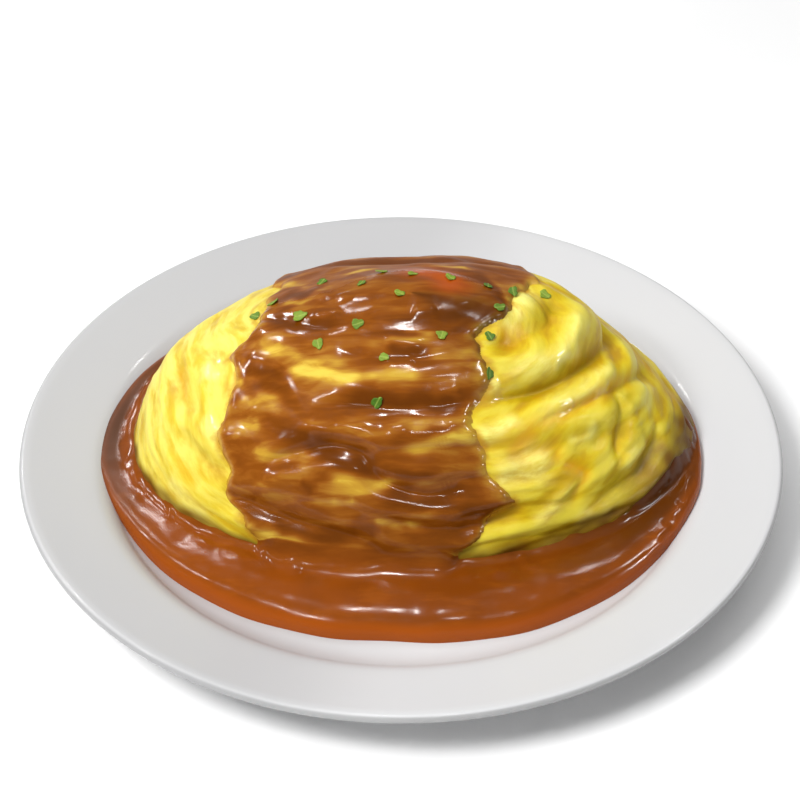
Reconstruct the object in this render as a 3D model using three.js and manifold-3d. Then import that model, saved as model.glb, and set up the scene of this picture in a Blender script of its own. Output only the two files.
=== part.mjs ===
// Omurice on its plate: a folded omelette over rice, with brown sauce poured across it and pooled round it.
// Millimetres, +Z up. The origin is the centre of the plate's foot, on the table. -Y is the front.

import * as THREE from "three";
import { mergeVertices } from "three/addons/utils/BufferGeometryUtils.js";
import Module from "manifold-3d";

const wasm = await Module();
wasm.setup();

// ---- Driving dimensions ------------------------------------------------------------------------

const GAP = 0.3; // air between pieces that touch

const PLATE = {
  radius: 120,
  rimHeight: 20,
  rimThickness: 3.6,
  lipRadius: 1.5,
  wellRadius: 95, // where the rim turns down into the well
  wellEdgeHeight: 14.5,
  floorRadius: 84,
  floorHeight: 6,
  floorThickness: 3.8,
  footRadius: 68,
  footWidth: 4,
  segments: 56,
};

const OMELETTE = {
  centre: new THREE.Vector2(2.85, 7.1),
  halfLength: 89.2,
  halfWidth: 60.8,
  height: 63,
  fullness: 1.1, // above 1 the shoulders fall away sooner than an ellipse's
  tuck: 0.07, // how far the foot of the side turns in, as a share of the half sizes
  tuckHeight: 10,
  columns: 58,
  rows: 23,
};

const SAUCE = {
  level: 14.2, // height of the pool beside the omelette
  // where sauce is piled higher against the omelette: towards its right end and its far left
  piles: [
    { angle: -16, spread: 28, height: 3 },
    { angle: 154, spread: 15, height: 3 },
  ],
  fillet: 1.6, // the pool's rise where it meets the omelette
  bandLeft: { front: -53.5, back: -39 }, // x of the poured band's edges
  bandRight: { front: 23.5, back: 42 },
  bandTurn: { left: -30, right: -22, back: 34 }, // the y between which those edges go over into each other
  bandThickness: 2.7,
  bandRelief: 0.7, // share of the egg's folds that still shows through the band
  bandRunout: 2.2, // how far the band's skin runs on under the egg beyond its edge
  bandDip: 2, // and how deep it dips there
  bandCore: 6, // depth of the hidden inner side of the band's skin
  bandEnd: 84, // degrees over from the top at which the band has reached the pool
  // in front, near the pool, the left edge draws in and the right one bulges, then draws in
  footLeft: { drawIn: 11, from: 46, to: 52.5 },
  footRight: { bulge: 8, at: 47, spread: 2.5, drawIn: 8, from: 49.5, to: 53.5 },
  bandColumns: 14,
  bandRows: 36,
  poolColumns: 54,
  poolSteps: 6,
  filletReach: 3,
  shore: 0.985, // where the pool meets the omelette, as a share of its half sizes
  root: 0.8, // where the pool's hidden inner side lies, as a share of them
  rootDepth: 2, // how far the pool's solid goes down into the plate before the plate is cut away
  edgePower: 5, // the higher, the further the pool's surface stays level before it falls off
  poolRadius: 95.2, // at the sides, up on the well's wall
  frontGap: 17.0, // how far the pool's edge draws in from that radius in front and behind
  frontAngle: -94,
  backGap: 8,
  backAngle: 90,
  gapReach: 1.1, // above 1 the drawn-in stretches are shorter than a half turn
  gapFalloff: 1.25,
};

// Waves that things wander in: height, frequency (for each mm or radian) and phase. The egg's small ridges,
// the band's left and right edge, and the pool's edge.
const RIPPLE_WAVES = [[0.34, 2, 0.6], [0.22, 3, -1.1]];
const LEFT_WAVES = [[1.5, 1 / 4.2, 0], [1, 1 / 2.3, 1]];
const RIGHT_WAVES = [[1.5, 1 / 3.9, 0.7]];
const POOL_WAVES = [[0.5, 5, 0.5], [0.3, 9, 0]];

// Deep folds of the egg. Each runs round the dome between two angles (degrees, -90 is the front), at the
// height that "down" gives at its start, middle and end: 0 is the top of the dome and 1 its foot.
const FOLDS = [
  // right side
  { from: -52, to: 24, down: [0.27, 0.3, 0.37], depth: 2.0, width: 4.8 },
  { from: -76, to: 34, down: [0.43, 0.44, 0.57], depth: 4.2, width: 5.5 },
  { from: -60, to: 10, down: [0.52, 0.53, 0.67], depth: 2.2, width: 4.2 },
  { from: -68, to: -34, down: [0.6, 0.59, 0.6], depth: 1.8, width: 4.2 },
  { from: -40, to: -20, down: [0.71, 0.62, 0.56], depth: 1.8, width: 4.2 },
  { from: -54, to: -12, down: [0.81, 0.77, 0.69], depth: 1.8, width: 4.2 },
  // front, under the sauce
  { from: -150, to: -40, down: [0.19, 0.17, 0.17], depth: 1.8, width: 4.2 },
  { from: -135, to: -52, down: [0.25, 0.27, 0.25], depth: 1.8, width: 4.2 },
  { from: -122, to: -62, down: [0.43, 0.41, 0.4], depth: 2.6, width: 4.3 },
  { from: -126, to: -98, down: [0.64, 0.55, 0.58], depth: 2.8, width: 4.3 },
  { from: -104, to: -76, down: [0.55, 0.66, 0.64], depth: 2.8, width: 4.3 },
  { from: -134, to: -94, down: [0.77, 0.78, 0.84], depth: 2.2, width: 4.2 },
  { from: -98, to: -64, down: [0.72, 0.78, 0.74], depth: 2.2, width: 4.2 },
  // left side
  { from: -186, to: -134, down: [0.34, 0.26, 0.2], depth: 1.8, width: 4.3 },
  { from: -178, to: -152, down: [0.6, 0.61, 0.6], depth: 1.4, width: 4.3 },
  { from: -156, to: -130, down: [0.66, 0.71, 0.7], depth: 1.5, width: 4.2 },
  // back
  { from: 40, to: 128, down: [0.38, 0.34, 0.4], depth: 2.4, width: 4.8 },
  { from: 28, to: 96, down: [0.62, 0.56, 0.6], depth: 2.6, width: 4.8 },
  { from: 88, to: 160, down: [0.57, 0.64, 0.58], depth: 2.2, width: 4.6 },
  { from: 50, to: 120, down: [0.78, 0.75, 0.8], depth: 2.0, width: 4.3 },
];

// Broad swellings of the egg: where they sit, how far they spread (mm round and down) and their height.
const SWELLINGS = [
  { angle: -6, down: 0.88, round: 34, drop: 14, height: 3.4 },
  { angle: 12, down: 0.6, round: 26, drop: 14, height: -3.0 },
  { angle: 32, down: 0.38, round: 26, drop: 16, height: 3.2 },
  { angle: 168, down: 0.64, round: 24, drop: 16, height: 2.2 },
  { angle: 92, down: 0.3, round: 34, drop: 16, height: -3.2 },
  { angle: -140, down: 0.92, round: 30, drop: 20, height: 2.6 },
  { angle: 70, down: 0.62, round: 40, drop: 16, height: 1.4 },
];

// Small ridges between them: their number from top to foot, height, and how much calmer the left end is.
const RIPPLE = { count: 9.5, height: 0.9, valleyWidth: 0.25, calm: 0.65, calmAngle: -170 };

// ---- Small helpers -----------------------------------------------------------------------------

const radians = THREE.MathUtils.degToRad;
const smoothstep = THREE.MathUtils.smoothstep;

function bump(distance, width) {
  return Math.exp(-((distance / width) ** 2));
}

function waves(list, at) {
  return list.reduce((sum, [height, frequency, phase]) => sum + height * Math.sin(frequency * at + phase), 0);
}

function wrapDegrees(angle, start) {
  return start + THREE.MathUtils.euclideanModulo(angle - start, 360);
}

// The curve through three values at 0, a half and 1.
function through([start, middle, end], t) {
  return start * (1 - t) * (1 - 2 * t) + 4 * middle * t * (1 - t) + end * t * (2 * t - 1);
}

function solidFrom(geometry) {
  const bare = geometry.clone();
  bare.deleteAttribute("normal");
  bare.deleteAttribute("uv");
  const merged = mergeVertices(bare, 1e-4);
  const corners = merged.index.array;
  const kept = [];
  for (let i = 0; i < corners.length; i += 3) {
    const [a, b, c] = corners.slice(i, i + 3);
    if (a !== b && b !== c && c !== a) kept.push(a, b, c);
  }
  const vertProperties = Float32Array.from(merged.attributes.position.array);
  return new wasm.Manifold(new wasm.Mesh({ numProp: 3, vertProperties, triVerts: Uint32Array.from(kept) }));
}

function geometryFrom(solid) {
  const { vertProperties, triVerts } = solid.getMesh();
  const geometry = new THREE.BufferGeometry();
  geometry.setAttribute("position", new THREE.BufferAttribute(vertProperties, 3));
  geometry.setIndex(new THREE.BufferAttribute(triVerts, 1));
  geometry.computeVertexNormals();
  return geometry;
}

// A closed skin over a row of closed loops of points. With two ends given, the first and last loop are
// closed by a fan to them; without, the last loop joins the first.
function loft(loops, ends = []) {
  const size = loops[0].length;
  const points = [...loops.flat(), ...ends];
  const at = (loop, step) => (loop % loops.length) * size + (step % size);
  const triangles = [];
  const spans = ends.length ? loops.length - 1 : loops.length;
  for (let step = 0; step < size; step++) {
    for (let loop = 0; loop < spans; loop++) {
      const [a, b] = [at(loop, step), at(loop, step + 1)];
      const [c, d] = [at(loop + 1, step + 1), at(loop + 1, step)];
      triangles.push(a, b, c, a, c, d);
    }
    if (ends.length) {
      triangles.push(points.length - 2, at(0, step + 1), at(0, step));
      triangles.push(points.length - 1, at(loops.length - 1, step), at(loops.length - 1, step + 1));
    }
  }
  if (enclosedVolume(points, triangles) < 0) triangles.reverse();
  const geometry = new THREE.BufferGeometry();
  geometry.setAttribute("position", new THREE.Float32BufferAttribute(points.flatMap((p) => p.toArray()), 3));
  geometry.setIndex(triangles);
  return geometry;
}

function enclosedVolume(points, triangles) {
  const cross = new THREE.Vector3();
  let volume = 0;
  for (let i = 0; i < triangles.length; i += 3) {
    const [a, b, c] = triangles.slice(i, i + 3).map((corner) => points[corner]);
    volume += a.dot(cross.crossVectors(b, c)) / 6;
  }
  return volume;
}

// ---- Plate -------------------------------------------------------------------------------------

// The upper face, from the middle out to the lip.
function plateTop() {
  const { radius, rimHeight, lipRadius, wellRadius, wellEdgeHeight, floorRadius, floorHeight } = PLATE;
  const wallRadius = (floorRadius + wellRadius) / 2 + 2;
  const wallHeight = (floorHeight + wellEdgeHeight) / 2;
  const top = new THREE.Path();
  top.moveTo(0, floorHeight);
  top.lineTo(floorRadius - 3, floorHeight);
  top.quadraticCurveTo(floorRadius + 3, floorHeight, wallRadius, wallHeight);
  top.quadraticCurveTo(wellRadius - 1.5, wellEdgeHeight - 0.4, wellRadius + 3, wellEdgeHeight + 0.7);
  top.lineTo(radius - lipRadius, rimHeight);
  return top.getPoints(3);
}

function wellHeight(radius) {
  const top = plateTop();
  const next = Math.max(1, top.findIndex((point) => point.x > radius));
  const [low, high] = [top[next - 1], top[next]];
  return THREE.MathUtils.mapLinear(radius, low.x, high.x, low.y, high.y);
}

function plateUnderside() {
  const { radius, rimHeight, rimThickness, lipRadius, wellRadius, wellEdgeHeight } = PLATE;
  const { floorRadius, floorHeight, floorThickness, footRadius, footWidth } = PLATE;
  const floorUnder = floorHeight - floorThickness;
  const lipMiddle = rimHeight - lipRadius;
  const under = new THREE.Path();
  under.absarc(radius - lipRadius, lipMiddle, lipRadius, Math.PI / 2, -Math.PI / 4, true);
  under.lineTo(wellRadius + 4, wellEdgeHeight - rimThickness);
  under.lineTo(floorRadius + 3, floorUnder + 1.2);
  under.lineTo(footRadius + 1.5, floorUnder + 0.6);
  under.lineTo(footRadius, 0);
  under.lineTo(footRadius - footWidth, 0);
  under.lineTo(footRadius - footWidth - 1, floorUnder);
  under.lineTo(0, floorUnder);
  return under.getPoints(2);
}

function turned(section) {
  return solidFrom(new THREE.LatheGeometry(section, PLATE.segments).rotateX(Math.PI / 2));
}

function plateSolid() {
  return turned([...plateTop(), ...plateUnderside()].reverse());
}

// What keeps the food clear of the plate: everything under the upper face raised by the gap.
function plateClearance() {
  const top = plateTop();
  const raised = top.map((point, i) => {
    const before = top[Math.max(i - 1, 0)];
    const after = top[Math.min(i + 1, top.length - 1)];
    const along = after.clone().sub(before).normalize();
    const radius = i === 0 ? 0 : point.x - along.y * GAP;
    return new THREE.Vector2(radius, point.y + along.x * GAP);
  });
  const below = [new THREE.Vector2(PLATE.radius, -PLATE.rimHeight), new THREE.Vector2(0, -PLATE.rimHeight)];
  return turned([...raised, ...below].reverse());
}

// ---- Omelette ----------------------------------------------------------------------------------

// Small ridges that follow the dome's contours, wander and merge. They are calmer on the left end. Wander and
// twist shift them up and down, the first all the way down and the second more and more.
function rippleHeight(angle, down) {
  const turn = radians(angle);
  const wander = waves(RIPPLE_WAVES, turn);
  const twist = 0.12 * Math.sin(5 * turn + 7 * down) + 0.08 * Math.sin(9 * turn - 12 * down + 2);
  const phase = Math.PI * (RIPPLE.count * down + wander + twist);
  const calm = RIPPLE.calm * smoothstep(Math.cos(radians(angle - RIPPLE.calmAngle)), 0.3, 0.85);
  const ends = smoothstep(down, 0.02, 0.16) * smoothstep(1 - down, 0.02, 0.12);
  return RIPPLE.height * ends * (1 - calm) * (2 * Math.hypot(Math.sin(phase), RIPPLE.valleyWidth) - 1.3);
}

// A valley with a soft bulge above it and a fuller one below.
function foldHeight(fold, angle, down) {
  const wrapped = wrapDegrees(angle, fold.from - 90);
  const t = (wrapped - fold.from) / (fold.to - fold.from);
  if (t <= 0 || t >= 1) return 0;
  const fade = smoothstep(t, 0, 0.22) * smoothstep(1 - t, 0, 0.22);
  const below = (down - through(fold.down, t)) * meridianLength(angle);
  const valley = bump(below, fold.width);
  const under = bump(below - 2 * fold.width, 1.4 * fold.width);
  const over = bump(below + 1.8 * fold.width, 1.3 * fold.width);
  return fold.depth * fade * (-valley + 0.5 * under + 0.3 * over);
}

function swellingHeight(swelling, angle, down) {
  const away = wrapDegrees(angle - swelling.angle, -180);
  const around = radians(away) * OMELETTE.halfWidth * Math.sin((down * Math.PI) / 2);
  const drop = (down - swelling.down) * meridianLength(angle);
  return swelling.height * bump(around, swelling.round) * bump(drop, swelling.drop);
}

// Roughly the length of the side from the top of the dome to its foot.
function meridianLength(angle) {
  const { halfLength, halfWidth, height } = OMELETTE;
  const reach = Math.hypot(halfLength * Math.cos(radians(angle)), halfWidth * Math.sin(radians(angle)));
  return (Math.PI / 2) * Math.sqrt((reach ** 2 + height ** 2) / 2);
}

function relief(angle, down) {
  const folds = FOLDS.reduce((sum, fold) => sum + foldHeight(fold, angle, down), 0);
  const swellings = SWELLINGS.reduce((sum, swelling) => sum + swellingHeight(swelling, angle, down), 0);
  return folds + swellings + rippleHeight(angle, down);
}

// A point of the dome, "down" from its top (0) to its foot (1), moved out along its normal. reliefShare is
// 1 on the egg and less where sauce evens out the folds.
function domePoint(angle, down, offset, reliefShare = 1) {
  const { centre, halfLength, halfWidth, height, fullness, tuck, tuckHeight } = OMELETTE;
  const tilt = (Math.min(down, 1) * Math.PI) / 2;
  const rise = Math.cos(tilt) ** fullness * height;
  const low = Math.max(0, 1 - rise / tuckHeight);
  const reach = Math.sin(tilt) * (1 - tuck * low ** 2);
  const across = Math.cos(radians(angle)) * reach;
  const along = Math.sin(radians(angle)) * reach;
  const normal = new THREE.Vector3(across / halfLength, along / halfWidth, Math.cos(tilt) / height);
  const point = new THREE.Vector3(centre.x + halfLength * across, centre.y + halfWidth * along, rise);
  point.z += PLATE.floorHeight + GAP;
  const footFade = smoothstep(1 - down, 0, 0.08);
  const outward = offset + relief(angle, down) * reliefShare * footFade;
  return point.addScaledVector(normal.normalize(), outward);
}

// The whole omelette down to its flat base, grown all round by the given amount.
function omeletteSolid(grow) {
  const { centre, columns, rows } = OMELETTE;
  const base = PLATE.floorHeight + GAP - grow;
  const rings = [];
  for (let row = 1; row <= rows; row++) {
    const ring = [];
    for (let column = 0; column < columns; column++) {
      const point = domePoint((column / columns) * 360, row / rows, grow);
      if (row === rows) point.z = base;
      ring.push(point);
    }
    rings.push(ring);
  }
  const bottom = new THREE.Vector3(centre.x, centre.y, base);
  return solidFrom(loft(rings, [domePoint(0, 0, grow), bottom]));
}

// ---- Sauce -------------------------------------------------------------------------------------

// Side edges of the poured band, as x for a place across the omelette's width (its y on the middle line).
function bandEdges(y) {
  const { bandLeft, bandRight, bandTurn, footLeft, footRight } = SAUCE;
  const { lerp } = THREE.MathUtils;
  const edge = ({ front, back }, start) => lerp(front, back, smoothstep(y, start, bandTurn.back));
  const drawnIn = ({ drawIn, from, to }) => drawIn * smoothstep(-y, from, to);
  const bulge = footRight.bulge * bump(y + footRight.at, footRight.spread);
  return [
    edge(bandLeft, bandTurn.left) + waves(LEFT_WAVES, y) + drawnIn(footLeft),
    edge(bandRight, bandTurn.right) + waves(RIGHT_WAVES, y) + bulge - drawnIn(footRight),
  ];
}

// The point of the dome at x, "over" degrees round from straight above the omelette's long middle line.
function bandPoint(x, over, offset, reliefShare) {
  const { centre, halfLength } = OMELETTE;
  const across = (x - centre.x) / halfLength;
  const along = Math.sqrt(1 - across * across) * Math.sin(radians(over));
  const angle = THREE.MathUtils.radToDeg(Math.atan2(along, across));
  const down = Math.asin(Math.min(1, Math.hypot(across, along))) / (Math.PI / 2);
  return domePoint(angle, down, offset, reliefShare);
}

// The poured band, from the pool in front over the omelette to the pool behind. Its edges dip under the
// egg, so that its thickness runs out in a round edge.
function bandSolid() {
  const { bandThickness, bandRelief, bandRunout, bandDip, bandCore } = SAUCE;
  const { bandEnd, bandColumns, bandRows } = SAUCE;
  const sections = [];
  for (let row = 0; row <= bandRows; row++) {
    const over = -bandEnd + (2 * bandEnd * row) / bandRows;
    const [left, right] = bandEdges(OMELETTE.centre.y + OMELETTE.halfWidth * Math.sin(radians(over)));
    const section = [];
    for (let column = 0; column <= bandColumns; column++) {
      const across = Math.sin(((column / bandColumns) * 2 - 1) * (Math.PI / 2));
      const x = THREE.MathUtils.mapLinear(across, -1, 1, left - bandRunout, right + bandRunout);
      const thickness = bandThickness - (bandThickness + bandDip) * across ** 10;
      const reliefShare = 1 - (1 - bandRelief) * (1 - across ** 4);
      section.push(bandPoint(x, over, thickness, reliefShare));
    }
    for (const share of [0.95, 0.65, 0.35, 0.05]) {
      section.push(bandPoint(THREE.MathUtils.lerp(left, right, share), over, -bandCore, 0));
    }
    sections.push(section);
  }
  return solidFrom(loft(sections, [sections[0], sections.at(-1)].map(middleOf)));
}

function middleOf(points) {
  return points.reduce((sum, point) => sum.add(point), new THREE.Vector3()).divideScalar(points.length);
}

// The outer edge of the pool at an angle round the plate. It lies high on the well's wall at the sides and
// draws in on the floor in front and behind.
function poolEdge(angle) {
  const { poolRadius, frontGap, backGap, frontAngle, backAngle, gapReach, gapFalloff } = SAUCE;
  const share = (middle) => {
    const away = Math.min(90, Math.abs(wrapDegrees(angle - middle, -180)));
    return Math.max(0, Math.cos(radians(gapReach * away))) ** gapFalloff;
  };
  const turn = radians(angle);
  const [front, back] = [share(frontAngle), share(backAngle)];
  const radius = poolRadius - front * frontGap - back * backGap + (front + back) * waves(POOL_WAVES, turn);
  return new THREE.Vector3(radius * Math.cos(turn), radius * Math.sin(turn), wellHeight(radius));
}

function poolLevel(angle) {
  const piled = (sum, pile) => sum + pile.height * bump(wrapDegrees(angle - pile.angle, -180), pile.spread);
  return SAUCE.piles.reduce(piled, SAUCE.level);
}

// The pool all round the omelette's foot, level on top and falling off in a blunt, rounded edge.
function poolSolid() {
  const { fillet, filletReach, edgePower, shore, root, rootDepth, poolColumns, poolSteps } = SAUCE;
  const { centre, halfLength, halfWidth } = OMELETTE;
  const under = PLATE.floorHeight - rootDepth;
  const sections = [];
  for (let column = 0; column < poolColumns; column++) {
    const angle = (column / poolColumns) * 360;
    const edge = poolEdge(angle);
    const level = poolLevel(angle);
    const across = halfLength * Math.cos(radians(angle));
    const along = halfWidth * Math.sin(radians(angle));
    const inner = new THREE.Vector3(centre.x + root * across, centre.y + root * along, level + fillet);
    const start = new THREE.Vector3(centre.x + shore * across, centre.y + shore * along, 0);
    const width = Math.hypot(edge.x - start.x, edge.y - start.y);
    const section = [inner];
    for (let step = 0; step <= poolSteps; step++) {
      const out = Math.sin((step / poolSteps) * (Math.PI / 2));
      const point = start.clone().lerp(edge, out);
      const swell = Math.sqrt(1 - out ** edgePower);
      point.z = edge.z + (level - edge.z) * swell + fillet * Math.exp((-out * width) / filletReach) * swell;
      section.push(point);
    }
    section.push(edge.clone().setZ(under), inner.clone().setZ(under));
    sections.push(section);
  }
  return solidFrom(loft(sections));
}

function sauceSolid() {
  return poolSolid().add(bandSolid()).subtract(omeletteSolid(GAP)).subtract(plateClearance());
}

// ---- The plated dish ---------------------------------------------------------------------------

function piece(name, solid, color, roughness) {
  const material = new THREE.MeshStandardMaterial({ color, roughness, metalness: 0 });
  const mesh = new THREE.Mesh(geometryFrom(solid), material);
  mesh.name = name;
  return mesh;
}

const omurice = new THREE.Group();
omurice.add(piece("plate", plateSolid(), 0xe1e1e1, 0.25));
omurice.add(piece("omelette", omeletteSolid(0).subtract(plateClearance()), 0xf4dc50, 0.45));
omurice.add(piece("sauce", sauceSolid(), 0x8b4d22, 0.3));

export default omurice;
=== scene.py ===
import math

import bpy
import numpy as np
from mathutils import Matrix, Vector
from mathutils.bvhtree import BVHTree


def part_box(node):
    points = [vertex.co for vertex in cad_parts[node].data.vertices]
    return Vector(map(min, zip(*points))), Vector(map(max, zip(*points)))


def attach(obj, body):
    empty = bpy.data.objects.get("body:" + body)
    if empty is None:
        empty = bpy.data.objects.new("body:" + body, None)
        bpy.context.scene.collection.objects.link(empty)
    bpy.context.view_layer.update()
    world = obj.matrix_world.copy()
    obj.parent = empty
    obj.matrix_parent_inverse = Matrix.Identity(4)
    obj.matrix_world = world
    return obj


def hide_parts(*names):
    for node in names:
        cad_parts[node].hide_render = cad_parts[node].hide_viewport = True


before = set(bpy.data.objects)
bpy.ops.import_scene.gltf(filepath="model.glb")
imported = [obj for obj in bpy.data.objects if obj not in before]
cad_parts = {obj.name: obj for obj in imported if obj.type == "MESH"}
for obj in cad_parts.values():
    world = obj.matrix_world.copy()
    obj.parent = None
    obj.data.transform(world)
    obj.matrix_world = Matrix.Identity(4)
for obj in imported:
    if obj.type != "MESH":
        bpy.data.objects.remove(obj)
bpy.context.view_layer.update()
scene = bpy.context.scene

MM = 0.001
SEED = 7

# ---- Sizes, in millimetres

plate_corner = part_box("plate")[1] / MM
PLATE_RADIUS = round(plate_corner.x)
RIM_HEIGHT = plate_corner.z
WELL_RADIUS = 95.0
WELL_EDGE_HEIGHT = 14.5
FLOOR_RADIUS = 84.0
FLOOR_HEIGHT = 6.0
FLOOR_THICKNESS = 3.8
RIM_THICKNESS = 3.6
LIP_RADIUS = 1.5
FOOT_RADIUS = 68.0
FOOT_WIDTH = 4.0

DOME_CENTRE = np.array([2.85, 7.1])
DOME_HALF = np.array([89.2, 60.8])
DOME_HEIGHT = 63.0
DOME_FOOT = (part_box("omelette")[0] / MM).z
FULLNESS = 1.1
TUCK = 0.07
TUCK_HEIGHT = 10.0
# How far the egg and the sauce on it stay clear of the well's wall.
WALL_GAP = 0.3

POOL_LEVEL = 14.2
# Where the sauce is piled higher against the egg: angle, spread, height.
POOL_PILES = [(-16, 28, 3.0), (154, 15, 3.0)]
# How high it clings to the egg above that, and where it clings higher: angle, spread, height.
CLING_HEIGHT = 2.2
CLINGS = [(-12, 24, 6.5), (152, 18, 5.0), (-150, 25, 1.0)]
POOL_RADIUS = 95.2
POOL_EDGE_POWER = 5
# Where the pool's edge draws in: angle, how far. It stays at least this far out from the egg.
POOL_BAYS = [(-94.0, 17.0), (90.0, 8.0)]
SHORE_GAP = 2.0

# The poured band's left and right edge in x, each at the front and at the back.
BAND_LEFT = (-53.5, -39.0)
BAND_RIGHT = (23.5, 42.0)
BAND_EDGE_ROUNDING = 4.5
SAUCE_BODY = 1.75
THINNEST_SAUCE = 0.3
# How far out the fillet between egg and pool reaches, on bare egg and where sauce is poured, and how far
# above the pool it starts there.
FILLET_REACH = (4.0, 8.0)
POURED_LIFT = 6.0
FILLET_PULL = 0.6
# How far under the egg the sauce's hem ends and its lining lies, and how far it sinks into the plate.
HEM = -0.8
LINING_DEPTH = 0.9
SUNK = 0.25

# Places on the dome are given by angle (-90 is the front) and by how far down the side, in percent.
# Deep folds: angles of the start and the end, how far down at the start, middle and end, depth, width.
FOLDS = [
    (-52, 24, (27, 30, 37), 2, 4.8), (-76, 34, (43, 44, 57), 4.2, 5.5),
    (-60, 10, (52, 53, 67), 2.2, 4.2), (-68, -34, (60, 59, 60), 1.8, 4.2),
    (-40, -20, (71, 62, 56), 1.8, 4.2), (-54, -12, (81, 77, 69), 1.8, 4.2),
    (-150, -40, (19, 17, 17), 1.8, 4.2), (-135, -52, (25, 27, 25), 1.8, 4.2),
    (-122, -62, (43, 41, 40), 2.6, 4.3), (-126, -98, (64, 55, 58), 2.8, 4.3),
    (-104, -76, (55, 66, 64), 2.8, 4.3), (-134, -94, (77, 78, 84), 2.2, 4.2),
    (-98, -64, (72, 78, 74), 2.2, 4.2), (-186, -134, (34, 26, 20), 1.8, 4.3),
    (-178, -152, (60, 61, 60), 1.4, 4.3), (-156, -130, (66, 71, 70), 1.5, 4.2),
    (40, 128, (38, 34, 40), 2.4, 4.8), (28, 96, (62, 56, 60), 2.6, 4.8),
    (88, 160, (57, 64, 58), 2.2, 4.6), (50, 120, (78, 75, 80), 2, 4.3),
]
# Lines on the egg: places, width, height or depth, strength of colour. They are raised crests with a painted
# highlight, olive valleys of painted shade, orange valleys, and browned edges.
PAINTED_HIGHLIGHT_CRESTS = [
    ([(-34, 23.2), (-12, 22.6), (10, 25.3), (34, 32.1)], 3.8, 0.4, 0.9),
    ([(-58, 34), (-46, 35), (-33, 37), (-20, 38), (-2, 38), (22, 41)], 3, 0.7, 0.8),
    ([(-66, 35), (-58, 38)], 3, 0.4, 1),
    ([(-53, 48.5), (-39, 47.5), (-26, 48), (-9, 50.5)], 2.4, 0.6, 0.7),
    ([(-73, 52.5), (-66, 50.5), (-58, 48)], 2.6, 0.6, 1),
    ([(-49, 60), (-43, 60), (-37, 58.5)], 1.5, 0.5, 0.7),
    ([(-73, 64.5), (-67, 63), (-61, 62), (-54, 63)], 5, 0.7, 0.8),
    ([(-54, 69), (-58, 76), (-65, 80)], 2, 0.8, 0.7),
    ([(-25, 70), (-32, 71.5), (-40, 74)], 2.2, 0.7, 0.6),
    ([(-2, 64), (-12, 64.5), (-20, 65)], 3.2, 0.6, 0.5),
    ([(-45, 83.5), (-56, 84)], 2, 0.4, 0.5),
    ([(-172, 50), (-163, 50), (-156, 50.5)], 2.2, 0.5, 0.9),
    ([(-151, 60), (-145, 61.5), (-140, 62)], 2.4, 0.5, 0.9),
    ([(-150, 80), (-142, 83), (-132, 86)], 3, 0.3, 0.6),
]
# Olive valleys: painted shade.
PAINTED_SHADE_VALLEYS = [
    ([(-30, 26), (-10, 27), (6, 31), (17, 34.5)], 3, 0.2, 0.7),
    ([(-66, 42), (-50, 41.5), (-30, 42), (-13, 44.5), (3, 50)], 3.2, 0.2, 0.8),
    ([(-47, 45.5), (-34, 46.5), (-22, 47.5)], 1.6, 0.6, 0.6),
    ([(-53, 62), (-45, 62), (-38, 61), (-35, 58)], 2, 0.3, 0.8),
    ([(-12, 56.5), (-23, 58), (-31, 64), (-36, 67)], 2.6, 0.3, 0.7),
    ([(-20, 67), (-30, 68.5), (-35, 70)], 2.4, 0.5, 0.7),
    ([(-20, 73), (-32, 76.5), (-39, 78.5), (-49, 81)], 3.2, 0.3, 0.9),
    ([(-40, 86), (-52, 87), (-66, 86)], 3, 0.3, 0.8),
    ([(-154, 65), (-150, 68), (-145, 69), (-139, 67.5)], 1.8, 0.6, 0.35),
]
ORANGE_LINES = [
    ([(-72, 53.5), (-62, 51.5), (-45, 50.5), (-32, 51), (-18, 53), (4, 63)], 2.4, 0.2, 0.8),
    ([(-57, 49), (-60, 54), (-65, 60)], 3.6, 0.4, 0.9),
    ([(-49, 57.5), (-53, 62), (-51, 65.5), (-49, 69), (-52, 74), (-56, 80)], 2.2, 0.9, 0.8),
    ([(-44, 24), (-27, 25), (-14, 28)], 3.4, 0.1, 0.6),
    ([(-62, 59.5), (-55, 58.5), (-48, 57.5)], 2.4, 0.3, 0.6),
    ([(-179, 60), (-168, 59), (-160, 60)], 2.8, 0.5, 0.6),
    ([(-150, 75), (-143, 75.5), (-138, 76.5)], 3, 0.4, 0.45),
]
BROWNED_LINES = [([(34, 56), (26, 62), (14, 66), (6, 70), (0, 74), (-3, 79)], 4, 0, 0.8)]
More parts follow.
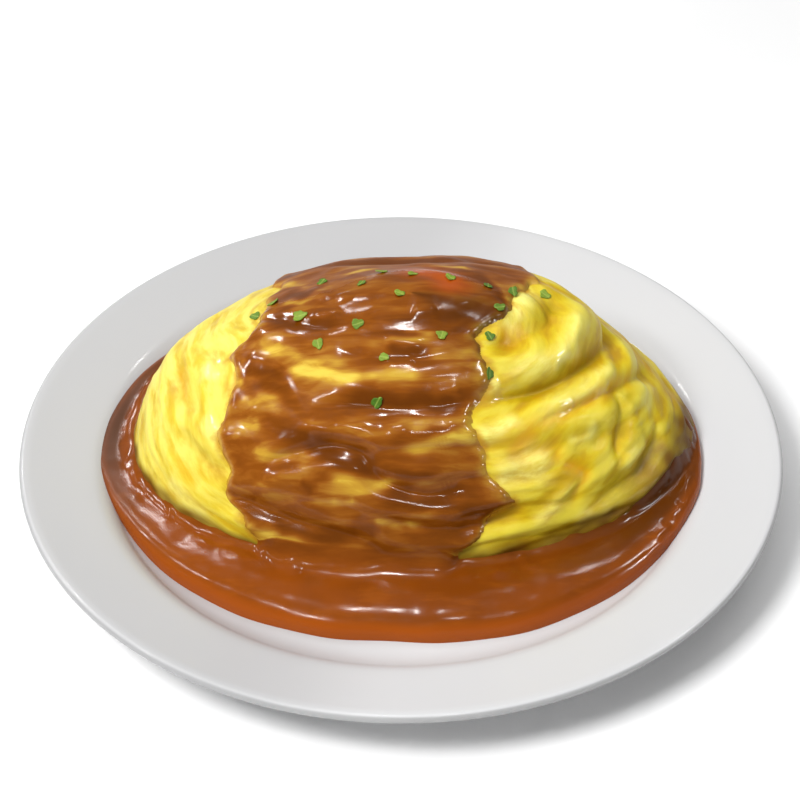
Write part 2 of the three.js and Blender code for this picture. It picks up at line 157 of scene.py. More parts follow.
# Lines on the sauce: places, width, strength. Along them it is thin enough for the egg to show, or it lies
# deep, or it is ruddy.
THIN_LINES = [
    ([(137, 46), (144, 32), (154, 24.5)], 2.2, 1.2),
    ([(164, 30), (174, 25), (-169, 22)], 1.6, 1.3),
    ([(-163, 38.5), (-148, 34.5), (-129, 32), (-110, 29.5)], 2.6, 1.2),
    ([(-143, 36.5), (-129, 35.3), (-117, 34.7), (-104, 33.2)], 2.4, 2),
    ([(-124, 35), (-106, 33.2), (-94, 31.5), (-84, 30.5)], 2.2, 0.9),
    ([(-155, 47.5), (-148, 45)], 2.6, 1.3),
    ([(-146, 50.5), (-128, 45.5)], 2.4, 1),
    ([(-143, 58), (-130, 53)], 2.6, 1.2),
    ([(-133, 64), (-125, 60), (-118, 58.5), (-112, 61)], 2, 1.2),
    ([(-111, 63), (-104, 64.5), (-98, 64), (-91, 60)], 2.8, 1.8),
    ([(-113, 71), (-105, 69.5), (-100, 68)], 1.6, 1.1),
    ([(-130, 86), (-120, 85.8), (-112, 85.5), (-103, 87.5)], 2.8, 1.4),
    ([(-98, 74.5), (-93, 76.5), (-87, 74.5)], 1.6, 1.8),
    ([(-102, 15.3), (-83, 15.8), (-70, 19.5)], 1.7, 1.4),
    ([(-105, 34), (-84, 33)], 3.2, 0.9),
    ([(-81, 24), (-55, 27.5)], 2.6, 0.9),
    ([(-99, 47), (-84, 45.5), (-70, 47)], 2.4, 0.9),
    ([(-94, 54), (-82, 51), (-71, 50.5)], 2.4, 1.3),
    ([(-92, 67), (-84, 65), (-75, 63)], 1.7, 1.3),
    ([(-75, 66), (-70, 68.5)], 3, 0.7),
    ([(-90, 87.5), (-78, 88), (-70, 87)], 2.6, 1.1),
]
DEEP_LINES = [
    ([(155, 33), (163, 25), (-179, 17)], 1.8, 1.2),
    ([(-178, 32.5), (-161, 26.5), (-140, 18.5)], 3.2, 1.3),
    ([(-154, 43), (-145, 41), (-133, 38.5)], 2.4, 1.2),
    ([(-146, 46), (-127, 41)], 2, 1),
    ([(-116, 42), (-100, 39.5), (-84, 39.5), (-68, 40.5)], 2.6, 1.9),
    ([(-130, 56.5), (-122, 53.5), (-117, 53.5), (-111, 56.5), (-106, 59), (-99, 59.2), (-95, 57)], 2.2, 2),
    ([(-115, 64.5), (-111, 68)], 2.2, 1.2),
    ([(-132, 81), (-123, 79), (-115, 80), (-107, 81.5), (-101, 81.5)], 2, 1.4),
    ([(-103, 76), (-95, 80)], 2.8, 1.2),
    ([(-116, 13.5), (-68, 11.5), (-28, 16.5)], 2.2, 1.3),
    ([(-105, 22.5), (-93, 23.2), (-78, 25.5)], 1.9, 1.7),
    ([(-97, 52), (-84, 48.5), (-70, 48.5)], 1.7, 1.2),
    ([(-100, 59), (-94, 60), (-89, 61.5), (-82, 60)], 1.8, 1.7),
    ([(-100, 68.5), (-86, 68.5), (-73, 64.5)], 2.2, 1.4),
    ([(-88, 70.5), (-76, 71), (-64, 73.5)], 3, 1.4),
    ([(-97, 79), (-86, 79), (-75, 79)], 2.8, 0.9),
    ([(150, 56), (118, 40), (90, 36), (58, 40)], 2.6, 1.2),
]
RUDDY_LINES = [([(112, 15), (78, 15), (54, 12), (30, 10), (10, 15)], 5.2, 0.8)]
# Small glossy swells of the sauce that catch the light.
GLINTS = [
    [(150, 25.8), (163, 21.1), (180, 17.4)], [(168, 15.3), (190, 13.2)],
    [(-166, 22.6), (-159, 19.3), (-155, 15.8)], [(-156, 40.5), (-152, 39.3), (-145, 37.7)],
    [(-149, 56), (-140, 51.6), (-132, 49.3)], [(-141, 62.2), (-137, 60), (-133, 57.7)],
    [(-119, 49.3), (-114, 50.4), (-110, 50.6)], [(-90, 8.3), (-72, 9.4), (-54, 10)],
    [(-32, 10.8), (-6, 14.2), (6, 17.9), (23, 21.8)], [(-107, 19.4), (-94, 20.5), (-80, 22.8)],
    [(-103, 28.4), (-95, 27.5), (-87, 26.8)], [(-83, 38), (-77, 37.4), (-72, 36.7)],
    [(-97, 48.5), (-94, 47.5), (-90, 46.7)], [(-81, 46.3), (-76, 46.3), (-72, 45.7)],
]
# The same on the pool, in x and y, where the sauce meets the egg and out near its edge.
POOL_GLINTS = [
    [(-56, -46.5), (-47, -51), (-38, -54)],
    [(-36, -54.5), (-30, -55.5)], [(-26, -55.5), (-19, -56)], [(-15, -56.5), (-1, -57)],
    [(17, -58), (22, -57.5)], [(26, -57), (35, -55.5)], [(36, -54.5), (41, -52.5)],
    [(-88, 7), (-86, -4), (-82, -14.5), (-75, -26.5)],
    [(-71, -31), (-69, -33)],
    [(-64, -40.5), (-56, -46)],
    [(93, 3.5), (91.5, -11), (88, -25), (80, -41), (71.5, -52)],
]
# And on the egg, where it is wet.
EGG_GLINTS = [
    [(-35, 38.9), (-28, 38.4), (-21, 38.9)], [(-62, 38.4), (-56, 37.5), (-49, 36.8)],
    [(-47, 49.6), (-42, 49.5), (-38, 49.4)], [(-32, 50.8), (-27, 51.6), (-22, 52.4)],
    [(-160, 54), (-164, 50), (-170, 46.5)], [(-145, 65), (-145, 60.5), (-145, 57)],
    [(-59, 38), (-63, 41.1), (-66, 45)],
]
GLINT_WIDTH, GLINT_HEIGHT, POOL_GLINT_HEIGHT = 2.1, 0.55, 0.8
EGG_GLINT_WIDTH, EGG_GLINT_HEIGHT = 2.0, 0.4
# How far a line strays from its places.
LINE_WAVER = 1.3
# Broad swellings: place, spread round, spread down, height.
SWELLINGS = [
    (-6, 88, 34, 14, 3.4), (12, 60, 26, 14, -3),
    (32, 38, 26, 16, 3.2), (168, 64, 24, 16, 2.2),
    (92, 30, 34, 16, -3.2), (-140, 92, 30, 20, 2.6),
    (70, 62, 40, 16, 1.4),
]
RIPPLES = 9.5
RIPPLE_HEIGHT = 1.15
CREASE_HEIGHT = 0.36
STREAK_STRETCH = 0.36

EGG_COLUMNS, EGG_ROWS = 500, 190
SAUCE_COLUMNS, BAND_ROWS, FILLET_ROWS, POOL_ROWS = 376, 132, 12, 28
PLATE_SEGMENTS = 256


# ---- Numbers

def smoothstep(x, low, high):
    t = np.clip((x - low) / (high - low), 0.0, 1.0)
    return t * t * (3.0 - 2.0 * t)


def fade_ends(t, length):
    """Fades to 0 at both ends of what t runs along, from 0 to 1."""
    return smoothstep(t, 0, length) * smoothstep(1 - t, 0, length)


def mix(a, b, share):
    return a + (b - a) * share


def wrap(angle, start):
    return start + np.mod(angle - start, 360.0)


def bump(distance, width):
    return np.exp(-((distance / width) ** 2))


def bump_at(angle, middle, spread):
    """A bump round the dome, in degrees."""
    return bump(wrap(angle - middle, -180.0), spread)


def unit(vectors):
    return vectors / np.linalg.norm(vectors, axis=-1, keepdims=True)


def circle(turn, radius=1.0):
    return np.stack([radius * np.cos(turn), radius * np.sin(turn)], -1)


def with_height(flat, height):
    return np.concatenate([flat, height[..., None]], -1)


def through(values, t):
    """A curve through a start, a middle and an end value."""
    start, middle, end = values
    return start * (1 - t) * (1 - 2 * t) + 4 * middle * t * (1 - t) + end * t * (2 * t - 1)


def bezier(a, b, c, d, t):
    return (1 - t) ** 3 * a + 3 * t * (1 - t) ** 2 * b + 3 * t * t * (1 - t) * c + t ** 3 * d


HASH_AXES = np.array([374761393, 668265263, 1442695041])
HASH_MIX = 1274126177
WORD = 0xFFFFFFFF


def lattice(places, salt):
    """A repeatable number from -1 to 1 for each whole-numbered place."""
    h = (places @ HASH_AXES + (SEED + salt) * HASH_MIX) & WORD
    h = ((h ^ (h >> 13)) * HASH_MIX) & WORD
    return (h ^ (h >> 16)) / 0x7FFFFFFF - 1.0


def noise(points, size, salt):
    """Smooth noise from about -1 to 1, with features of the given size. Another salt gives other noise."""
    scaled = points / size
    whole = np.floor(scaled).astype(np.int64)
    part = scaled - whole
    part = part ** 3 * (part * (part * 6 - 15) + 10)
    total = 0.0
    for step in np.ndindex(2, 2, 2):
        weight = np.prod(np.where(step, part, 1 - part), axis=-1)
        total = total + weight * lattice(whole + np.array(step), salt)
    return total


# ---- The plain dome

def meridian_length(angle):
    turn = np.radians(angle)
    reach = np.hypot(DOME_HALF[0] * np.cos(turn), DOME_HALF[1] * np.sin(turn))
    return math.pi / 2 * np.sqrt((reach ** 2 + DOME_HEIGHT ** 2) / 2)


def dome_base(angle, down):
    """Points of the plain dome and its normals, for angles in degrees and down from 0 (top) to 1 (foot)."""
    tilt = np.minimum(down, 1.0) * math.pi / 2
    rise = np.cos(tilt).clip(0) ** FULLNESS * DOME_HEIGHT
    low = np.maximum(0.0, 1 - rise / TUCK_HEIGHT)
    flat = circle(np.radians(angle), np.sin(tilt) * (1 - TUCK * low ** 2))
    normal = unit(with_height(flat / DOME_HALF, np.cos(tilt) / DOME_HEIGHT))
    return with_height(DOME_CENTRE + DOME_HALF * flat, DOME_FOOT + rise), normal


def place_on_dome(x, y):
    """Angle and down of the dome's point above x, y."""
    across, along = (np.array([x, y]) - DOME_CENTRE) / DOME_HALF
    down = np.arcsin(np.clip(np.hypot(across, along), 0, 1)) / (math.pi / 2)
    return np.degrees(np.arctan2(along, across)), down


def down_at(height):
    """How far down the dome a height above the plate's foot is."""
    return np.arccos(((height - DOME_FOOT) / DOME_HEIGHT) ** (1 / FULLNESS)) / (math.pi / 2)


def on_dome(places, steps=6):
    """Points along a line on the plain dome, from its places by angle and percent down."""
    places = np.array(places, dtype=float)
    t = np.linspace(0, len(places) - 1, steps * (len(places) - 1) + 1)
    angle, percent = (np.interp(t, np.arange(len(places)), column) for column in places.T)
    return dome_base(angle, percent / 100)[0]


def near_line(points, line, width):
    """1 along a line of points, falling away over the width and towards both of its ends."""
    shape = points.shape[:-1]
    points = points.reshape(-1, points.shape[-1])
    reach = 2.5 * width
    close = np.all((points > line.min(0) - reach) & (points < line.max(0) + reach), axis=1)
    best = np.full(close.sum(), np.inf)
    along = np.zeros_like(best)
    for i, (start, end) in enumerate(zip(line[:-1], line[1:])):
        span = end - start
        t = np.clip((points[close] - start) @ span / (span @ span), 0, 1)
        distance = np.linalg.norm(points[close] - start - t[:, None] * span, axis=1)
        nearer = distance < best
        best[nearer] = distance[nearer]
        along[nearer] = (i + t[nearer]) / (len(line) - 1)
    result = np.zeros(len(points))
    result[close] = bump(best, width) * fade_ends(along, 0.25)
    return result.reshape(shape)


def lines(points, table, column=-1):
    """The strongest of several lines at each point, times what the table's given column says of each."""
    total = np.zeros(points.shape[:-1])
    points = points + LINE_WAVER * np.stack([noise(points, 5.5, 22 + i) for i in range(3)], -1)
    for row in table:
        total = np.maximum(total, near_line(points, on_dome(row[0]), row[1]) * row[column])
    return total


# ---- The egg's relief

def broad_relief(angle, down):
    total = 0.0
    for middle, percent_down, around_spread, drop_spread, height in SWELLINGS:
        away = wrap(angle - middle, -180.0)
        around = np.radians(away) * DOME_HALF[1] * np.sin(down * math.pi / 2)
        drop = (down - percent_down / 100) * meridian_length(angle)
        total = total + height * bump(around, around_spread) * bump(drop, drop_spread)
    return total


def fold_relief(angle, down, point):
    """The deep folds: a sharp valley, a bulge above it and a fuller one below, as in cloth laid in pleats."""
    total = 0.0
    stray = 1.3 * noise(point, 16.0, 20)
    for start, end, percents, depth, width in FOLDS:
        t = (wrap(angle, start - 90.0) - start) / (end - start)
        below = ((down - through(percents, t) / 100) * meridian_length(angle) + stray) / width
        shape = 0.5 * bump(below - 1.7, 1.2) + 0.3 * bump(below + 1.6, 1.2)
        shape = shape - np.exp((0.2 - np.hypot(below, 0.2)) / 0.6)
        total = total + depth * fade_ends(t, 0.22) * shape
    return total


def pleat(phase):
    """One pleat per unit of phase: it swells slowly going down and drops back quickly."""
    part = phase - np.floor(phase)
    return np.sin(math.pi * part ** 1.7) - 0.6


def ripple_phase(angle, down, point):
    """Which pleat a place belongs to, counted from the top, and how far down that pleat it is."""
    turn = np.radians(angle)
    wander = 0.34 * np.sin(2 * turn + 0.6) + 0.22 * np.sin(3 * turn - 1.1)
    twist = 0.12 * np.sin(5 * turn + 7 * down) + 0.08 * np.sin(9 * turn - 12 * down + 2)
    return RIPPLES * down + smoothstep(down, 0.0, 0.24) * (wander + twist) + 0.3 * noise(point, 26.0, 3)


def ripple_relief(angle, down, point, phase):
    strength = 0.75 + 0.5 * noise(point, 22.0, 4)
    calm = 0.65 * smoothstep(np.cos(np.radians(angle + 170)), 0.3, 0.85)
    ends = smoothstep(down, 0.03, 0.2) * smoothstep(1 - down, 0.02, 0.12)
    return RIPPLE_HEIGHT * ends * (1 - calm) * strength * pleat(phase)


def crease_relief(down, point, flow, phase):
    """Small wrinkles that run along the pleats."""
    strength = smoothstep(noise(point, 13.0, 7), -0.6, 0.3)
    fine = strength * pleat(2.4 * phase + 0.8 * noise(point, 15.0, 5))
    wrinkle = 1 - 2.4 * np.abs(noise(flow, 6.5, 6))
    small = 1 - 2.4 * np.abs(noise(flow, 3.2, 10))
    return CREASE_HEIGHT * smoothstep(down, 0.03, 0.2) * (0.6 * fine + 0.8 * wrinkle + 0.2 * small)


class Relief:
    """The egg's relief at a set of places on the dome, and flow, coordinates that run along its pleats."""

    def __init__(self, angle, down):
        self.angle, self.down = angle, down
        self.point, self.normal = dome_base(angle, down)
        phase = ripple_phase(angle, down, self.point)
        drop = meridian_length(angle) * phase / RIPPLES
        self.flow = with_height(self.point[..., :2] * STREAK_STRETCH, drop)
        fade = smoothstep(1 - down, 0, 0.08)
        self.folds = fold_relief(angle, down, self.point) * fade
        self.ripples = ripple_relief(angle, down, self.point, phase) * fade
        self.creases = crease_relief(down, self.point, self.flow, phase) * fade
        self.wet = lines(self.point, [(places, EGG_GLINT_WIDTH, 1.0) for places in EGG_GLINTS])
        raised = lines(self.point, PAINTED_HIGHLIGHT_CRESTS, 2) + EGG_GLINT_HEIGHT * self.wet
        sunk = np.maximum(lines(self.point, PAINTED_SHADE_VALLEYS, 2), lines(self.point, ORANGE_LINES, 2))
        pleats = self.folds + self.ripples + self.creases
        self.egg = broad_relief(angle, down) * fade + pleats + raised - sunk

    def moved(self, offset):
        return self.point + self.normal * offset[..., None]


DOME_TIP = Relief(np.zeros(1), np.zeros(1))


# ---- The sauce's outline

def behind(angle):
    """1 on the far side of the dome, 0 on the near side."""
    return smoothstep(np.sin(np.radians(angle)), 0.0, 0.5)


def inside_band(relief):
    """How far inside the poured band's edge a place on the dome is."""
    flat = circle(np.radians(relief.angle), np.sin(relief.down * math.pi / 2))
    over = np.clip(flat[..., 1] / np.sqrt(np.maximum(1e-6, 1 - flat[..., 0] ** 2)), -1, 1)
    x = relief.point[..., 0]
    y = DOME_CENTRE[1] + DOME_HALF[1] * over
    left = mix(*BAND_LEFT, smoothstep(y, -30, 34)) + 1.5 * np.sin(y / 4.2) + np.sin(y / 2.3 + 1)
    left = left + 11 * smoothstep(-y, 46, 52.5)
    right = mix(*BAND_RIGHT, smoothstep(y, -22, 34)) + 1.5 * np.sin(y / 3.9 + 0.7)
    right = right + 8 * bump(y + 47, 2.5) - 8 * smoothstep(-y, 49.5, 53.5)
    ragged = 1.3 * noise(relief.point, 7.0, 8) + 2.0 * noise(relief.flow, 3.4, 9)
    return np.minimum(x - left, right - x) + ragged


def pool_level(angle):
    return POOL_LEVEL + sum(height * bump_at(angle, middle, spread) for middle, spread, height in POOL_PILES)


def cling_height(angle):
    """How far above the pool's level the sauce ends on the egg."""
    turn = np.radians(angle)
    wavy = 0.35 * np.sin(13 * turn + 1) + 0.25 * np.sin(29 * turn) + 0.2 * np.sin(47 * turn + 2)
    return CLING_HEIGHT + wavy + sum(more * bump_at(angle, middle, spread) for middle, spread, more in CLINGS)


def pool_edge_radius(angle):
    turn = np.radians(angle)
    radius = POOL_RADIUS
    wander = 0.5 * np.sin(5 * turn + 0.5) + 0.3 * np.sin(9 * turn) + 0.25 * np.sin(17 * turn + 1)
    for middle, gap in POOL_BAYS:
        away = np.abs(wrap(angle - middle, -180.0))
        share = np.maximum(0, np.cos(np.radians(1.1 * np.minimum(away, 90)))) ** 1.25
        radius = radius - share * (gap - wander)
    return radius


# ---- Meshes

def linked(name, data):
    """A new object in the scene."""
    made = bpy.data.objects.new(name, data)
    scene.collection.objects.link(made)
    return made


def new_object(name, vertices, faces, material):
    mesh = bpy.data.meshes.new(name)
    mesh.from_pydata((np.asarray(vertices) * MM).tolist(), [], [tuple(map(int, f)) for f in faces])
    mesh.materials.append(material)
    mesh.shade_smooth()
    return linked(name, mesh)


def store(piece, name, values):
    """Keeps a number or a vector for each point of a piece, for its material."""
    values = np.asarray(values, dtype=np.float32)
    kind, field = ("FLOAT", "value") if values.ndim == 1 else ("FLOAT_VECTOR", "vector")
    attribute = piece.data.attributes.new(name, kind, "POINT")
    attribute.data.foreach_set(field, values.ravel())


def grid_faces(columns, rows):
    """Quads of a grid that closes round its columns. Vertex = column * rows + row."""
    column, row = np.meshgrid(np.arange(columns) * rows, np.arange(rows - 1), indexing="ij")
    here, after = column + row, (column + rows) % (columns * rows) + row
    return np.stack([here, here + 1, after + 1, after], -1).reshape(-1, 4)


def fan(columns, rows, row, tip):
    """Triangles from a tip to one row of a grid."""
    ring = np.arange(columns) * rows + row
    return [(tip, a, b) for a, b in zip(ring, np.roll(ring, -1))]


def capped_grid(points, *tips):
    """A closed skin from a grid that closes round its columns, with a tip at either end of its rows."""
    columns, rows = points.shape[:2]
    count = columns * rows
    starts = fan(columns, rows, 0, count)
    ends = [face[::-1] for face in fan(columns, rows, rows - 1, count + 1)]
    return np.concatenate([points.reshape(-1, 3), tips]), [*grid_faces(columns, rows), *starts, *ends]


def closed_shell(sheet, lining, faces):
    """Joins a sheet and its lining, point for point, into one closed skin. It drops unused points and also
    gives where each of the others came from."""
    shift = len(sheet)
    edges = {edge: True for face in faces for edge in zip(face, face[1:] + face[:1])}
    walls = [(b, a, a + shift, b + shift) for a, b in edges if (b, a) not in edges]
    backs = [tuple(corner + shift for corner in reversed(face)) for face in faces]
    everything = [*faces, *backs, *walls]
    used = np.unique([corner for face in everything for corner in face])
    renumber = np.full(2 * shift, -1)
    renumber[used] = np.arange(len(used))
    return np.concatenate([sheet, lining])[used], [tuple(renumber[list(face)]) for face in everything], used


# ---- Materials

FOOD_IOR = 1.36


def srgb(*shown):
    """A colour given by red, green and blue as they show on a screen, 0 to 255."""
    shares = (value / 255 for value in shown)
    return (*(s / 12.92 if s <= 0.04045 else ((s + 0.055) / 1.055) ** 2.4 for s in shares), 1.0)


class Material:
    """A node material with a Principled shader, and short ways to add the nodes that feed it."""

    def __init__(self, name):
        self.material = bpy.data.materials.new(name)
        self.material.use_nodes = True
        self.tree = self.material.node_tree
        self.shader = self.tree.nodes["Principled BSDF"]

    def node(self, kind, **settings):
        node = self.tree.nodes.new(kind)
        for key, value in settings.items():
            setattr(node, key, value)
        return node

    def feed(self, target, value):
        if isinstance(value, bpy.types.NodeSocket):
            self.tree.links.new(value, target)
        else:
            target.default_value = value

    def fill(self, node, **inputs):
        for name, value in inputs.items():
            self.feed(node.inputs[name.replace("_", " ")], value)

    def set(self, **inputs):
        self.fill(self.shader, **inputs)

    def attribute(self, name, kind="Fac"):
        return self.node("ShaderNodeAttribute", attribute_name=name).outputs[kind]

    def place(self):
        return self.node("ShaderNodeTexCoord").outputs["Object"]

    def noise(self, size, detail=4.0, roughness=0.55, distortion=0.0, flow=False, stretch=1.0):
        """Noise with features of about the given size in millimetres.

        With flow they are streaks along the pleats. With stretch they are that many times longer along X."""
        place = self.attribute("flow", "Vector") if flow else self.place()
        if stretch != 1.0:
            squeezed = self.node("ShaderNodeVectorMath", operation="MULTIPLY")
            self.feed(squeezed.inputs[0], place)
            self.feed(squeezed.inputs[1], (1 / stretch, 1, 1))
            place = squeezed.outputs[0]
        node = self.node("ShaderNodeTexNoise")
        self.fill(node, Vector=place, Scale=1 / (size * MM), Detail=detail)
        self.fill(node, Roughness=roughness, Distortion=distortion)
        return node.outputs["Fac"]

    def math(self, operation, a, b=0.0):
        node = self.node("ShaderNodeMath", operation=operation)
        self.feed(node.inputs[0], a)
        self.feed(node.inputs[1], b)
        return node.outputs[0]

    def plus(self, a, b):
        return self.math("ADD", a, b)

    def times(self, a, b):
        return self.math("MULTIPLY", a, b)

    def between(self, value, low, high, to_low=0.0, to_high=1.0):
        node = self.node("ShaderNodeMapRange", interpolation_type="SMOOTHSTEP")
        self.fill(node, Value=value, From_Min=low, From_Max=high, To_Min=to_low, To_Max=to_high)
        return node.outputs["Result"]

    def blend(self, share, a, b):
        # A Mix node's sockets go by number, as those for colours share their names with its other kinds.
        node = self.node("ShaderNodeMix", data_type="RGBA")
        for place, value in ((0, share), (6, a), (7, b)):
            self.feed(node.inputs[place], value)
        return node.outputs[2]

    def ramp(self, value, stops):
        node = self.node("ShaderNodeValToRGB")
        self.fill(node, Fac=value)
        elements = node.color_ramp.elements
        while len(elements) < len(stops):
            elements.new(0.5)
        for element, (place, colour) in zip(elements, stops):
            element.position = place
            element.color = colour
        return node.outputs["Color"]

    def bumps(self, *layers):
        """Bump layers as (height, depth in millimetres, strength)."""
        normal = None
        for height, depth, strength in layers:
            node = self.node("ShaderNodeBump")
            self.fill(node, Distance=depth * MM, Strength=strength, Height=height)
            if normal:
                self.fill(node, Normal=normal)
            normal = node.outputs["Normal"]
        self.set(Normal=normal)


def egg_material():
    m = Material("cooked_egg")
    strokes = m.between(m.noise(5.0, 4, 0.5, 0.3, flow=True), 0.3, 0.7, -1.0, 1.0)
    # Painted shade and light from the relief: darker gold in the folds and creases, paler yellow on the
    # crests.
    colour = m.ramp(m.between(m.plus(m.attribute("relief"), strokes), -2.1, 1.9), [
        (0.0, srgb(188, 144, 12)), (0.3, srgb(206, 170, 18)),
        (0.6, srgb(220, 193, 34)), (1.0, srgb(230, 212, 68)),
    ])
    # Painted light: the egg's left flank is paler, as if lit from the left.
    painted_left_light = m.times(m.attribute("painted_left_light"), m.between(strokes, -1.0, 0.8, 0.2, 1.0))
    colour = m.blend(painted_left_light, colour, srgb(240, 227, 120))
    patches = m.between(m.noise(20, 3), 0.48, 0.68)
    colour = m.blend(m.times(patches, 0.3), colour, srgb(222, 184, 30))
    broken = m.between(m.noise(2.6, 4, 0.6, flow=True), 0.3, 0.62, 0.35, 1.0)
    # The olive tint is painted shade in the valleys, and the pale one is painted highlight on the crests.
    for name, tint, strength in (("painted_olive_shade", srgb(168, 146, 4), 0.75), ("orange", srgb(222, 156, 12), 0.8),
                                 ("browned", srgb(196, 130, 12), 0.7), ("painted_highlights", srgb(254, 248, 146), 0.8)):
        colour = m.blend(m.times(m.attribute(name), m.times(broken, strength)), colour, tint)
    edge = m.plus(m.attribute("band"), m.between(m.noise(5.0, 3, 0.5, stretch=2.0), 0.3, 0.7, -1.3, 1.3))
    colour = m.blend(m.between(edge, -2.2, 0.8, 0.0, 0.8), colour, srgb(190, 134, 34))
    # Darker just above the sauce: soaked in sauce, and painted shade where the egg meets the pool.
    colour = m.blend(m.attribute("soak_and_painted_shade"), colour, srgb(104, 62, 6))
    m.set(Base_Color=colour, Roughness=m.between(m.noise(5, 4), 0.3, 0.7, 0.34, 0.5), IOR=FOOD_IOR)
    m.set(Subsurface_Weight=0.18, Subsurface_Scale=0.0025, Subsurface_Radius=(1.0, 0.7, 0.15))
    m.set(Specular_IOR_Level=0.22, Coat_Weight=m.attribute("wet"), Coat_Roughness=0.1, Coat_IOR=1.5)
    m.bumps((m.noise(3.0, 4, 0.5, flow=True), 0.5, 0.5), (m.noise(0.9, 4), 0.12, 0.35))
    return m.material


def sauce_material():
    m = Material("brown_sauce")
    streaks = m.between(m.noise(3.4, 3, 0.5, 0.4, stretch=5.0), 0.3, 0.7, -0.6, 0.6)
    band = m.ramp(m.between(m.plus(m.attribute("depth"), streaks), -0.8, 4.4), [
        (0.0, srgb(224, 194, 76)), (0.14, srgb(192, 148, 48)), (0.32, srgb(168, 114, 38)),
        (0.5, srgb(148, 86, 22)), (0.68, srgb(132, 70, 12)), (1.0, srgb(104, 52, 4)),
    ])
    pool = m.blend(m.between(m.noise(24, 3), 0.35, 0.65), srgb(136, 66, 8), srgb(124, 60, 8))
    pool = m.blend(m.between(m.noise(5, 4, stretch=3.0), 0.5, 0.75, 0.0, 0.5), pool, srgb(154, 80, 16))
    colour = m.blend(m.attribute("poured"), pool, band)
    # Of these tints the dark one is painted shade; ruddy and rim are the sauce's own colour.
    for name, tint in (("painted_pool_shade", srgb(76, 38, 2)), ("ruddy", srgb(184, 80, 18)), ("rim", srgb(160, 76, 14))):
        colour = m.blend(m.attribute(name), colour, tint)
    duller = m.plus(m.between(m.attribute("poured"), 0, 1, 0.03, 0), m.times(m.attribute("dull"), 0.35))
    roughness = m.plus(m.between(m.noise(4, 4), 0.3, 0.7, 0.11, 0.19), duller)
    m.set(Base_Color=colour, Roughness=roughness, IOR=FOOD_IOR, Specular_IOR_Level=0.34)
    m.bumps((m.noise(3.4, 2, 0.5, stretch=3.0), 0.3, 0.2), (m.noise(0.9, 3), 0.05, 0.2))
    return m.material


def plate_material():
    m = Material("glazed_porcelain")
    split = m.node("ShaderNodeSeparateXYZ")
    m.fill(split, Vector=m.place())
    x, y, z = split.outputs
    height = m.plus(z, m.between(m.noise(3, 3), 0, 1, -0.2 * MM, 0.2 * MM))
    bare = m.between(height, 0.4 * MM, 0.9 * MM, 1.0, 0.0)
    reach = m.math("SQRT", m.plus(m.times(x, x), m.times(y, y)))
    thin = m.between(reach, (PLATE_RADIUS - 0.9) * MM, (PLATE_RADIUS - 0.3) * MM)
    # Painted sheen: the glaze is lighter to the right of a soft diagonal.
    across = m.math("SUBTRACT", x, m.times(y, 0.25))
    uneven = m.between(m.noise(60, 2), 0.3, 0.7, -6 * MM, 6 * MM)
    side = m.between(m.plus(across, uneven), -30 * MM, 30 * MM)
    tint = m.blend(side, srgb(186, 186, 187), srgb(205, 205, 206))
    specks = m.between(m.noise(0.9, 2), 0.73, 0.78)
    tint = m.blend(m.times(specks, 0.12), tint, srgb(180, 178, 174))
    tint = m.blend(m.times(thin, 0.6), tint, srgb(150, 150, 150))
    colour = m.blend(bare, tint, srgb(206, 200, 190))
    roughness = m.plus(m.between(m.noise(18, 3), 0.3, 0.7, 0.36, 0.44), m.times(bare, 0.4))
    m.set(Base_Color=colour, Roughness=roughness, Specular_IOR_Level=0.35)
    m.set(Coat_Weight=0.12, Coat_Roughness=0.08)
    m.bumps((m.noise(30, 2), 0.12, 0.3), (m.noise(0.5, 2), 0.02, 0.2))
    return m.material


def parsley_material():
    m = Material("chopped_parsley")
    mottle = m.between(m.noise(0.8, 4, 0.65), 0.35, 0.65)
    colour = m.blend(m.attribute("shade"), srgb(72, 112, 20), srgb(138, 160, 42))
    colour = m.blend(m.times(mottle, 0.3), colour, srgb(60, 98, 16))
    colour = m.blend(m.attribute("vein"), colour, srgb(160, 180, 80))
    m.set(Base_Color=colour, Roughness=0.55, Specular_IOR_Level=0.25)
    m.set(Subsurface_Weight=0.15, Subsurface_Scale=0.001, Subsurface_Radius=(0.4, 1.0, 0.2))
    m.bumps((m.noise(0.5, 3), 0.06, 0.5))
    return m.material


def floor_material():
    m = Material("pale_floor")
    tint = m.blend(m.between(m.noise(120, 2), 0.4, 0.6), srgb(250, 250, 250), srgb(247, 247, 247))
    m.set(Base_Color=tint, Roughness=0.9, Specular_IOR_Level=0.1)
    return m.material


# ---- Plate

def curve(start, control, end, steps):
    t = np.linspace(0, 1, steps + 1)[1:, None]
    start, control, end = map(np.array, (start, control, end))
    return (1 - t) ** 2 * start + 2 * t * (1 - t) * control + t * t * end


def arc(middle, radius, first, last, steps):
    return middle + circle(np.radians(np.linspace(first, last, steps + 1)), radius)


def line(start, end, steps):
    return mix(np.array(start), np.array(end), np.linspace(0, 1, steps + 1)[1:, None])


def plate_top():
    floor_end = (FLOOR_RADIUS - 3, FLOOR_HEIGHT)
    wall = ((FLOOR_RADIUS + WELL_RADIUS) / 2 + 2, (FLOOR_HEIGHT + WELL_EDGE_HEIGHT) / 2)
    edge = (WELL_RADIUS + 3, WELL_EDGE_HEIGHT + 0.7)
    lip = (PLATE_RADIUS - LIP_RADIUS, RIM_HEIGHT)
    return np.concatenate([
        line((0, FLOOR_HEIGHT), floor_end, 8),
        curve(floor_end, (FLOOR_RADIUS + 3, FLOOR_HEIGHT), wall, 10),
        curve(wall, (WELL_RADIUS - 1.5, WELL_EDGE_HEIGHT - 0.4), edge, 12),
        curve(edge, ((edge[0] + lip[0]) / 2, (edge[1] + lip[1]) / 2 - 0.25), lip, 8),
    ])


